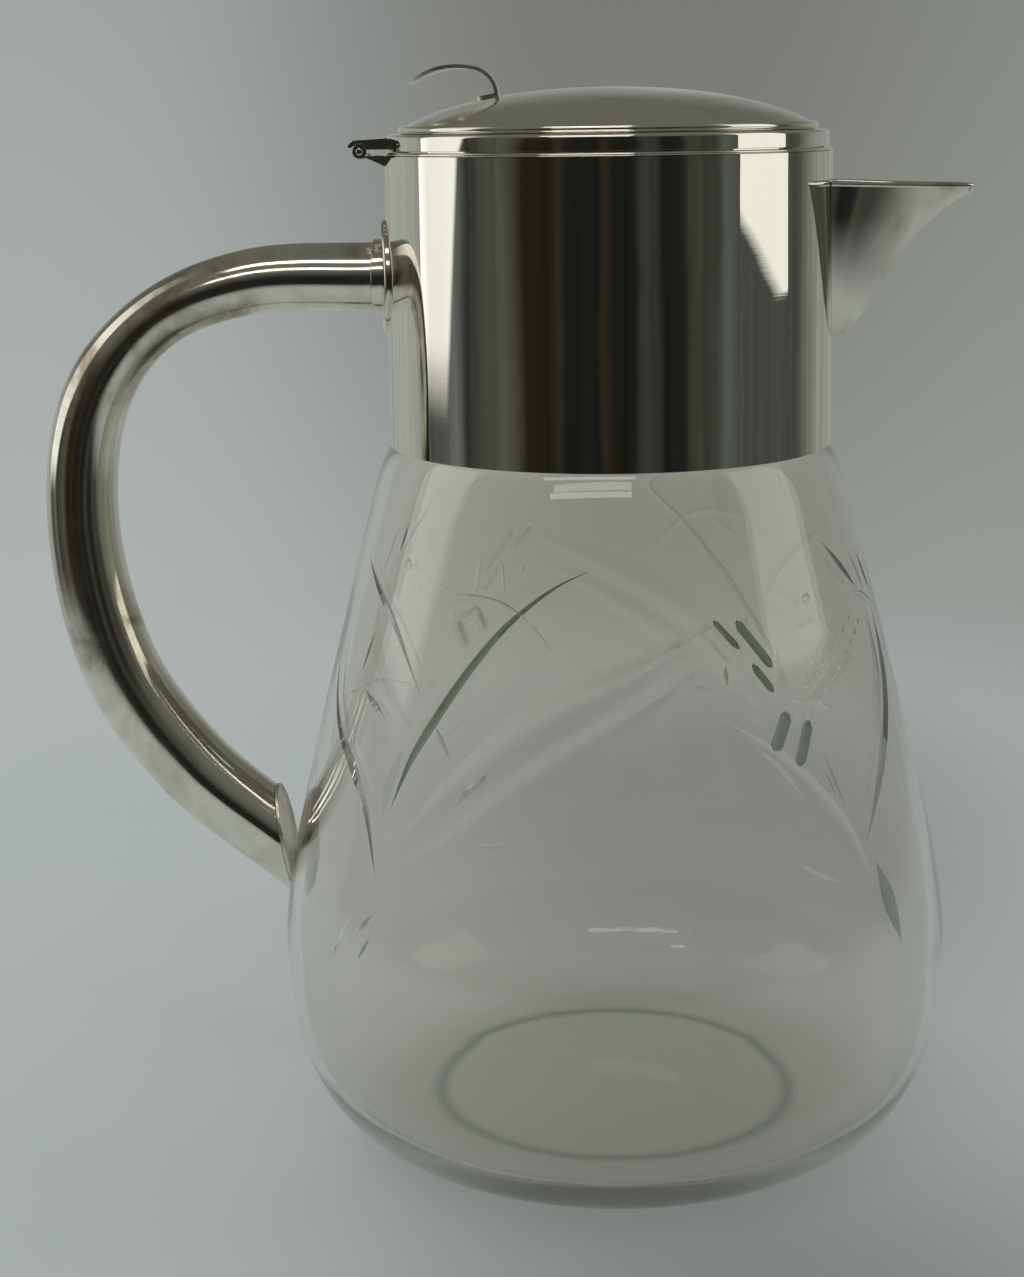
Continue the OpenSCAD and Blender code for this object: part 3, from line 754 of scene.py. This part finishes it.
def flange_mesh():
    columns = 96
    flat = FLANGE_R - FLANGE_EDGE
    profile = [(r, FLANGE_FACE) for r in (0, 4, 8, flat)]
    for a in (18, 36, 54, 72, 90):
        out = flat + FLANGE_EDGE * math.sin(math.radians(a))
        face = FLANGE_FACE - FLANGE_EDGE * (1 - math.cos(math.radians(a)))
        profile.append((out, face))
    profile += [(r, FLANGE_BACK) for r in (FLANGE_R, 8, 4, 0)]
    verts = []
    for rho, face in profile:
        for k in range(columns):
            a = 2 * math.pi * k / columns
            y = rho * math.cos(a)
            verts.append((-math.sqrt(face ** 2 - y * y), y, HANDLE_Z + rho * math.sin(a)))
    faces = []
    for i in range(len(profile) - 1):
        for k in range(columns):
            m = (k + 1) % columns
            faces.append([i * columns + k, i * columns + m,
                          (i + 1) * columns + m, (i + 1) * columns + k])
    return finish_mesh("flange_disc", verts, faces, 50)


def ferrule_mesh():
    columns = 96
    middle = (FERRULE_R + FERRULE_BORE) / 2
    wire = (FERRULE_R - FERRULE_BORE) / 2
    column = [(FERRULE_R, None), (FERRULE_R, FERRULE_END)]
    for b in (30, 60, 90, 120, 150):
        column.append((middle + wire * math.cos(math.radians(b)),
                       FERRULE_END - wire * math.sin(math.radians(b))))
    column += [(FERRULE_BORE, FERRULE_END), (FERRULE_BORE, None)]
    verts = []
    for k in range(columns):
        a = 2 * math.pi * k / columns
        for r, x in column:
            y = r * math.cos(a)
            seat = -math.sqrt(FLANGE_FACE ** 2 - y * y)
            verts.append((seat if x is None else x, y, HANDLE_Z + r * math.sin(a)))
    row = len(column)
    faces = []
    for k in range(columns):
        m = (k + 1) % columns
        for i in range(row):
            j = (i + 1) % row
            faces.append([k * row + i, m * row + i, m * row + j, k * row + j])
    return finish_mesh("ferrule_ring", verts, faces, 50)


handle_plate = plated("handle_plate", 0.78, 0.2, (0.05, 0.02, 0.33), 0.06)
for made, replaced in ((flange_mesh(), "handle_flange"), (ferrule_mesh(), "handle_ferrule")):
    made.data.materials.append(handle_plate)
    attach(made, "jug")
    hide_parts(replaced)

# Handle tube: a seamed tube bent round a former, drawn thinner in the tight upper
# bend and left fuller below, cut on a slant beside the glass and closed there.
# Each station is (distance left of the axis, height, radius) in millimetres.
HANDLE_PATH = [
    (51.3, 198.7, 8.0), (81.0, 198.0, 7.5), (104.0, 189.0, 7.0), (118.5, 170.0, 7.9),
    (122.0, 141.0, 8.27), (115.0, 109.0, 8.9), (98.5, 84.5, 9.1), (76.6, 66.0, 8.9)]
HANDLE_GAP = 1.4
CAP_SHEET = 1.0


def handle_line(steps):
    """Smooth path through the stations, run on past the last one, as 3-D points."""
    last = HANDLE_PATH[-1]
    on = tuple(2 * p - q for p, q in zip(last, HANDLE_PATH[-2]))
    points = smooth_run(HANDLE_PATH, steps)
    for k in range(1, 7):
        points.append(tuple(p + (q - p) * 0.1 * k for p, q in zip(last, on)))
    return [(-x, 0, z, r) for x, z, r in points]


def cut_tube():
    """Slants the tube's end beside the glass; returns the tube and its end plate."""
    mesh = swept_tube("handle", handle_line(12), handle_plate, 64)
    upper = glass_radius(76)
    lower = glass_radius(56)
    across = Vector((upper - lower, 0, 20)).normalized()
    normal = Vector((across.z, 0, -across.x))
    end = Vector((-(glass_radius(66) + HANDLE_GAP + CAP_SHEET), 0, 66)) * MM
    work = bmesh.new()
    work.from_mesh(mesh)
    bmesh.ops.remove_doubles(work, verts=work.verts, dist=1e-7)
    low = [v for v in work.verts if v.co.z < 0.1]
    reach = set(low)
    lower_end = low + [e for e in work.edges if reach.issuperset(e.verts)]
    lower_end += [f for f in work.faces if reach.issuperset(f.verts)]
    cut = bmesh.ops.bisect_plane(work, geom=lower_end, plane_co=end, plane_no=normal,
                                 clear_outer=True)
    edge = [e for e in cut["geom_cut"] if isinstance(e, bmesh.types.BMEdge)]
    bmesh.ops.edgeloop_fill(work, edges=edge)
    ring = [v.co / MM for v in cut["geom_cut"] if isinstance(v, bmesh.types.BMVert)]
    side = Vector((0, 1, 0))
    centre = sum(ring, Vector()) / len(ring)
    ring.sort(key=lambda p: math.atan2((p - centre).dot(side), (p - centre).dot(across)))
    smooth_faces(work, 35)
    mesh.materials.clear()
    work.to_mesh(mesh)
    work.free()
    tube = new_object("bent_handle", mesh)
    count = len(ring)
    verts = [p + normal * 0.03 for p in ring] + [p + normal * CAP_SHEET for p in ring]
    faces = [list(range(count)), list(range(2 * count - 1, count - 1, -1))]
    faces += [[k, (k + 1) % count, count + (k + 1) % count, count + k] for k in range(count)]
    return tube, finish_mesh("handle_end_plate", verts, faces)


tube, end_plate = cut_tube()
tube.data.materials.append(handle_plate)
round_edges(end_plate, 0.25)
end_plate.data.materials.append(plated("end_plate", 1.0, 0.2, dull=0.25))
for made, replaced in ((tube, "handle_tube"), (end_plate, "handle_end_cap")):
    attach(made, "jug")
    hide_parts(replaced)

# Hinge: a cast lower leaf with two knuckles soldered under the collar's rim, the
# strap with the middle knuckle on the lid, and a drawn wire pin through all three.


def eased_copy(name, source, width):
    """Merged copy of a frame node with its sharp edges broken."""
    mesh = node[source].data.copy()
    mesh.name = name
    work = bmesh.new()
    work.from_mesh(mesh)
    bmesh.ops.remove_doubles(work, verts=work.verts, dist=2e-6)
    bmesh.ops.dissolve_limit(work, angle_limit=math.radians(1.0),
                             verts=work.verts, edges=work.edges)
    smooth_faces(work, 32)
    mesh.materials.clear()
    work.to_mesh(mesh)
    work.free()
    piece = new_object(name, mesh)
    round_edges(piece, width, 2, 38)
    return piece


hinge_plate = plated("hinge_plate", 0.85, 0.1, (0.11, 0, 0.02), 0.1)
for label, source, body, width in (
        ("hinge_lower_leaf", "hinge_bracket", "jug", 0.15),
        ("hinge_wire_pin", "hinge_pin", "jug", 0.2),
        ("hinge_strap", "lid_hinge_leaf", "lid", 0.15)):
    made = eased_copy(label, source, width)
    made.data.materials.append(hinge_plate)
    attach(made, body)
    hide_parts(source)

# Lid: an upright band with a rounded shoulder, a sleeve inside that centres it in
# the mouth, and a low raised dome whose edge is rolled over into a bead.
ROLL = (45.95, 231.6)
ROLL_R = 0.95
CROWN_Z = 240.65


def dome_line(drop, steps):
    """Dome from crown to rolled edge, drop below its outer face."""
    a = math.radians(125) + drop / ROLL_R
    edge = (ROLL[0] + ROLL_R * math.cos(a), ROLL[1] + ROLL_R * math.sin(a))
    crown = (0, CROWN_Z - drop)
    return [crown] + bezier(crown, (crown[0] + 19.3, crown[1]),
                            (edge[0] - 9.65, edge[1] + 5.27), edge, steps)


roll_end = 125 + math.degrees(0.8 / ROLL_R) - 360
dome = turned("lid_dome_sheet", (
    dome_line(0, 28) + bend(ROLL[0], ROLL[1], ROLL_R, 110, roll_end + 15, 26)
    + dome_line(0.8, 28)[::-1]))
band = turned("lid_band_sheet", (
    [(48.6, 227.05), (49.15, 227.05), (49.3, 227.2)] + bend(48.5, 229.85, 0.8, 0, 90, 10)
    + [(44.95, 230.65), (44.95, 229.85), (48.5, 229.85), (48.5, 227.15)]))
bezel = turned("lid_bezel_sleeve", (
    [(46.95, 222), (47.45, 222), (47.6, 222.15), (47.6, 229.83), (46.8, 229.83),
     (46.8, 222.15)]))
for made, replaced, finish in (
        (dome, "lid_dome", plated("dome_plate", 0.4, 0.12, (0.2, 0.1, 0), 0.09)),
        (band, "lid_band", plated("band_plate", 0.3, 0.08, (0.4, 0, 0.1))),
        (bezel, "lid_bezel", plated("bezel_plate", 0.5, 0.08, (0, 0.3, 0.1)))):
    made.data.materials.append(finish)
    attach(made, "lid")
    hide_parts(replaced)

# Thumb-piece: a tongue of sheet curled up from the lid and swept back over the
# hinge, wide and round at its tip, with a short foot soldered to the dome.
CURL = (-30.7, 239.05)
CURL_R = 6.5
SWEEP = (-33.29, 227.83)
SWEEP_R = 18.0
CURL_TURN = 77.0
SWEEP_END = 127.93
THUMB_SHEET = 0.8


def tongue_edge():
    tip = SWEEP[0] + SWEEP_R * math.cos(math.radians(SWEEP_END))
    mid = (tip + 8.5, 8.5)
    line = [(-23.2, 4.5)]
    line += bezier((-23.2, 4.5), (-27.45, 4.5), (-30.7, 7.333), mid, 24)
    line += bezier(mid, (mid[0] - 4.25, 8.5), (tip, 4.25), (tip, 0), 24)
    return line


def half_at(line, x):
    for (x0, y0), (x1, y1) in zip(line, line[1:]):
        if x1 <= x <= x0:
            return y1 + (y0 - y1) * (x - x1) / max(x0 - x1, 1e-9)
    return line[0][1] if x > line[0][0] else 0.0


tongue = tongue_edge()


def tongue_point(u, t, inner):
    bends = CURL_R * math.radians(CURL_TURN + 14)
    sweep = SWEEP_R * math.radians(SWEEP_END - CURL_TURN)
    u = 1 - (1 - u) ** 1.6
    s = u * (bends + sweep)
    if s < bends:
        a = math.radians(-14) + s / CURL_R
        c, r = CURL, CURL_R
    else:
        a = math.radians(CURL_TURN) + (s - bends) / SWEEP_R
        c, r = SWEEP, SWEEP_R
    x = c[0] + (r - inner * THUMB_SHEET) * math.cos(a)
    z = c[1] + (r - inner * THUMB_SHEET) * math.sin(a)
    outer_x = c[0] + r * math.cos(a)
    half = max(half_at(tongue, outer_x), 0.12)
    return (x, half * t, z)


def dome_height(r):
    line = dome_line(0, 28)
    for (r0, z0), (r1, z1) in zip(line, line[1:]):
        if r0 <= r <= r1:
            return z0 + (z1 - z0) * (r - r0) / (r1 - r0)
    return line[-1][1]


foot_line = [(-24.2, 4.5)] + bezier((-24.2, 4.5), (-28.8, 4.5), (-29.8, 2.25), (-29.8, 0), 16)


def foot_point(u, t, inner):
    x = -24.2 - 5.6 * (1 - (1 - u) ** 2)
    y = max(half_at(foot_line, x), 0.1) * t
    z = dome_height(math.hypot(x, y))
    return (x, y, z - 0.05 if inner else z + THUMB_SHEET)


thumb_plate = plated("thumb_plate", 0.8, 0.12, (0.07, 0.2, 0), 0.2)
thumb = double_skin("thumb_tongue", tongue_point, 60, 20)
foot = double_skin("thumb_foot", foot_point, 16, 12)
for made in (thumb, foot):
    round_edges(made, 0.2)
    made.data.materials.append(thumb_plate)
    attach(made, "lid")
    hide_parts("thumb_piece")

# Table: a plain pale matt surface that fades into the backdrop colour, so it keeps
# the jug's shadow without a visible far edge. Its colour is darkened before and behind
# the jug: a painted shadow in front and painted shade behind.


def floor_paint():
    mat, shader, place = new_finish("pale_table")
    grain = add(mat, "TexNoise", None, {"Vector": place, "Scale": 6.0, "Detail": 4.0})
    tint = shades(mat, grain.outputs["Fac"], [
        (0, (0.34, 0.375, 0.37)), (1, (0.37, 0.40, 0.395))])
    flat = add(mat, "VectorMath", {"operation": "MULTIPLY"}, {0: place, 1: (1.0, 0.55, 1.0)})
    # Painted shade: the colour is darkened in a soft patch behind the jug.
    behind = add(mat, "VectorMath", {"operation": "DISTANCE"}, {
        0: flat.outputs["Vector"], 1: (0.035, 0.13, 0.0)})
    dull = ease(mat, behind.outputs["Value"], 0.03, 0.15, 0.72)
    # Painted shadow: the colour is darkened in a soft patch in front of the jug.
    before = add(mat, "VectorMath", {"operation": "DISTANCE"}, {
        0: place, 1: (0.03, -0.10, 0.0)})
    painted_shade = ease(mat, before.outputs["Value"], 0.0, 0.12, 0.66)
    lit = add(mat, "VectorMath", {"operation": "SCALE"}, {
        0: tint, "Scale": maths(mat, "MULTIPLY", dull, painted_shade)})
    join(mat, lit.outputs["Vector"], shader.inputs["Base Color"])
    shader.inputs["Roughness"].default_value = 0.8
    far = add(mat, "VectorMath", {"operation": "LENGTH"}, {0: place})
    fade = ease(mat, far.outputs["Value"], 0.3, 0.62)
    gone = add(mat, "BsdfTransparent")
    both = add(mat, "MixShader", None, {
        0: fade, 1: shader.outputs["BSDF"], 2: gone.outputs["BSDF"]})
    join(mat, both.outputs["Shader"],
         mat.node_tree.nodes["Material Output"].inputs["Surface"])
    return mat


bpy.ops.mesh.primitive_circle_add(vertices=96, radius=0.7, fill_type="NGON",
                                  location=(0, 0, -0.0003))
table_top = bpy.context.object
table_top.name = "table_top"
table_top.data.materials.append(floor_paint())

# Room: soft grey all round for the light, a pale backdrop for the camera, and for
# polished metal a dim room on the near side with the pale wall behind the jug.
SWAY = 0.16
world = bpy.data.worlds.new("room")
bpy.context.scene.world = world
world.use_nodes = True
world.node_tree.nodes.clear()
way = add(world, "TexCoord").outputs["Generated"]
split = add(world, "SeparateXYZ", None, {0: way})
near = maths(world, "MULTIPLY", split.outputs["Y"], -1.0)
turn = maths(world, "ARCTAN2", split.outputs["X"], near)
long_way = add(world, "VectorMath", {"operation": "MULTIPLY"}, {0: way, 1: (4.0, 4.0, 9.0)})
sway = add(world, "TexNoise", None, {"Vector": long_way.outputs["Vector"], "Scale": 1.0})
swayed = maths(world, "MULTIPLY_ADD", sway.outputs["Fac"], SWAY, turn)
share = add(world, "MapRange", None, {
    "Value": swayed, "From Min": -math.pi + SWAY / 2, "From Max": math.pi + SWAY / 2})
STOPS = [
    (-180, (0.35, 0.37, 0.35)), (-122, (0.37, 0.4, 0.375)), (-110, (0.29, 0.306, 0.323)),
    (-104, (0.0579, 0.0613, 0.0612)), (-84, (0.135, 0.143, 0.139)),
    (-76, (0.0299, 0.0346, 0.0323)), (-66, (0.0627, 0.0682, 0.0545)),
    (-55, (0.082, 0.0869, 0.069)), (-47, (0.0531, 0.0524, 0.0401)), (-42, (0.0183, 0.0148, 0.01)),
    (-30, (0.0154, 0.0138, 0.00779)), (-25, (0.027, 0.0267, 0.02)), (-20, (0.0116, 0.0119, 0.01)),
    (-5, (0.0116, 0.0119, 0.0111)), (-2, (0.0328, 0.0237, 0.0156)), (3, (0.0116, 0.0119, 0.01)),
    (13, (0.0106, 0.0128, 0.0111)), (18, (0.0367, 0.0425, 0.0367)), (24, (0.0338, 0.0346, 0.03)),
    (28, (0.0106, 0.0119, 0.0111)), (37, (0.0145, 0.0178, 0.0156)), (42, (0.055, 0.0563, 0.0445)),
    (50, (0.0347, 0.0385, 0.0323)), (56, (0.0463, 0.0514, 0.0434)), (62, (0.0888, 0.104, 0.0946)),
    (72, (0.0656, 0.0741, 0.0668)), (112, (0.0618, 0.0692, 0.0612)), (135, (0.29, 0.31, 0.285)),
    (180, (0.35, 0.37, 0.35))]
around = shades(world, share.outputs["Result"], [
    ((place + 180) / 360, colour) for place, colour in STOPS])
above = ease(world, split.outputs["Z"], 0.02, 0.5)
thin_way = add(world, "VectorMath", {"operation": "MULTIPLY"}, {0: way, 1: (17.0, 17.0, 1.6)})
thread = add(world, "TexNoise", None, {"Vector": thin_way.outputs["Vector"], "Scale": 1.0})
weave = add(world, "MapRange", None, {
    "Value": thread.outputs["Fac"], "From Min": 0.3, "From Max": 0.7, "To Min": 0.84,
    "To Max": 1.16})
hung = add(world, "VectorMath", {"operation": "SCALE"}, {
    0: around, "Scale": weave.outputs["Result"]})
ceiling = blend(world, above, hung.outputs["Vector"], (0.132, 0.137, 0.118, 1))
squat = add(world, "VectorMath", {"operation": "MULTIPLY"}, {0: way, 1: (1.0, 1.0, 0.55)})
dim = add(world, "VectorMath", {"operation": "DISTANCE"}, {
    0: squat.outputs["Vector"], 1: (0.02, 1.0, 0.02)})
dusk = ease(world, dim.outputs["Value"], 0.03, 0.235)
side = add(world, "MapRange", None, {
    "Value": split.outputs["X"], "From Min": -0.25, "From Max": 0.2})
wall = blend(world, side.outputs["Result"], (0.40, 0.43, 0.42, 1), (0.285, 0.305, 0.285, 1))
backdrop = blend(world, dusk, (0.218, 0.226, 0.205, 1), wall)
level = add(world, "MapRange", None, {
    "Value": split.outputs["Z"], "From Min": -0.2, "From Max": 0.05, "To Min": 1.05,
    "To Max": 0.88})
graded = add(world, "VectorMath", {"operation": "SCALE"}, {
    0: backdrop, "Scale": level.outputs["Result"]}).outputs["Vector"]
path = add(world, "LightPath")
shiny = add(world, "Background", None, {"Color": ceiling})
seen = add(world, "Background", None, {"Color": graded})
soft = add(world, "Background", None, {"Color": (0.66, 0.67, 0.67, 1)})
rise = ease(world, split.outputs["Z"], 0.15, 0.7)
front = ease(world, near, -0.75, 0.3)
turned_back = maths(world, "SUBTRACT", path.outputs["Ray Depth"],
                    path.outputs["Transmission Depth"])
mirrored = add(world, "Math", {"operation": "MULTIPLY", "use_clamp": True}, {
    0: turned_back, 1: front}).outputs[0]
part_shut = maths(world, "MULTIPLY", maths(world, "MAXIMUM", rise, mirrored), 0.75)
glassy = blend(world, part_shut, graded, (0.12, 0.14, 0.11, 1))
through = add(world, "Background", None, {"Color": glassy})
first = add(world, "MixShader", None, {
    0: path.outputs["Is Glossy Ray"], 1: soft.outputs[0], 2: shiny.outputs[0]})
second = add(world, "MixShader", None, {
    0: path.outputs["Is Transmission Ray"], 1: first.outputs[0], 2: through.outputs[0]})
third = add(world, "MixShader", None, {
    0: path.outputs["Is Camera Ray"], 1: second.outputs[0], 2: seen.outputs[0]})
add(world, "OutputWorld", None, {"Surface": third.outputs[0]})

# Lights: two tall windows close at the sides, the left one narrowed by a curtain, two
# strips above the near side for the lines on the handle, and a soft one behind.


def window(name, azimuth, distance, wide, low, high, radiance, colour, pane=None):
    """Upright soft light; azimuth in degrees from the near side toward the right.
    With pane (across, up, edge, soft, low_end, full_end) it is lit where across *
    width share + up * height share passes edge, soft wide, as a curtain crosses it,
    and comes up from dark at the height share low_end to full strength at full_end."""
    lamp = bpy.data.lights.new(name, "AREA")
    lamp.shape = "RECTANGLE"
    lamp.size = wide
    lamp.size_y = high - low
    lamp.energy = math.pi * wide * (high - low) * radiance
    lamp.color = colour
    if pane:
        lamp.use_nodes = True
        across, up, edge, soft, low_end, full_end = pane
        where = add(lamp, "NewGeometry").outputs["Parametric"]
        height = add(lamp, "SeparateXYZ", None, {0: where}).outputs["Y"]
        tilt = add(lamp, "VectorMath", {"operation": "DOT_PRODUCT"}, {
            0: where, 1: (across, up, 0)})
        open_part = add(lamp, "MapRange", None, {
            "Value": tilt.outputs["Value"], "From Min": edge, "From Max": edge + soft})
        lit = open_part.outputs["Result"]
        for start, end in ((1.0, 0.35), (low_end, full_end)):
            lit = maths(lamp, "MULTIPLY", lit, ease(lamp, height, start, end))
        join(lamp, lit, lamp.node_tree.nodes["Emission"].inputs["Strength"])
    made = new_object(name, lamp)
    a = math.radians(azimuth)
    spot = Vector((math.sin(a) * distance, -math.cos(a) * distance, (low + high) / 2))
    made.location = spot
    made.rotation_euler = (Vector((0, 0, spot.z)) - spot).to_track_quat("-Z", "Y").to_euler()
    made.visible_camera = False
    return made


window("left_window", -90, 0.435, 0.25, 0.10, 0.80, 0.88, (1.0, 1.0, 0.98),
       (-1.0, 1.9, -0.60, 0.07, 0.015, 0.075))
window("right_window", 82.3, 0.52, 0.30, 0.155, 0.86, 0.9, (1.0, 1.0, 0.95),
       (0.0597, 1.0, 0.0412, 0.016, 0.0, 0.004))
for name, height, wide in (("high_strip", 56, 0.15), ("low_strip", 31, 0.10)):
    strip = window(name, 0, 1.0, 0.75, 0.0, wide, 3.4, (1.0, 1.0, 0.98))
    lift = math.radians(height)
    strip.location = (-0.18, -1.1 * math.cos(lift), 0.2 + 1.1 * math.sin(lift))
    strip.rotation_euler = (Vector((-0.18, 0, 0.2)) - strip.location).to_track_quat(
        "-Z", "Y").to_euler()
sky = window("back_sky", 0, 1.0, 0.9, 0.0, 0.9, 3.2, (0.98, 1.0, 1.0))
sky.location = (-0.75, 0.65, 0.95)
sky.rotation_euler = (Vector((0, 0, 0.05)) - sky.location).to_track_quat("-Z", "Y").to_euler()
sky.visible_glossy = False
sky.visible_transmission = False

# Camera: close to the jug and just above its rim, looking slightly down and left;
# the angles, in degrees, are the ones that fit the photo.
lens = bpy.data.cameras.new("camera")
lens.sensor_width = 36
lens.lens = 62.7
lens.shift_y = -0.15
lens.clip_start = 0.01
camera = new_object("camera", lens)
PITCH = math.radians(8.43)
YAW = math.radians(2.54)
ROLL_ANGLE = math.radians(0.78)
look = Vector((-math.sin(YAW) * math.cos(PITCH), math.cos(YAW) * math.cos(PITCH),
               -math.sin(PITCH)))
right = Vector((math.cos(YAW), math.sin(YAW), 0))
up = right.cross(look)
across = math.cos(ROLL_ANGLE) * right - math.sin(ROLL_ANGLE) * up
upright = math.sin(ROLL_ANGLE) * right + math.cos(ROLL_ANGLE) * up
camera.matrix_world = Matrix((
    (across.x, upright.x, -look.x, 0.0),
    (across.y, upright.y, -look.y, -0.5035),
    (across.z, upright.z, -look.z, 0.2341),
    (0, 0, 0, 1)))
bpy.context.scene.camera = camera
bpy.context.scene.view_settings.view_transform = "Standard"
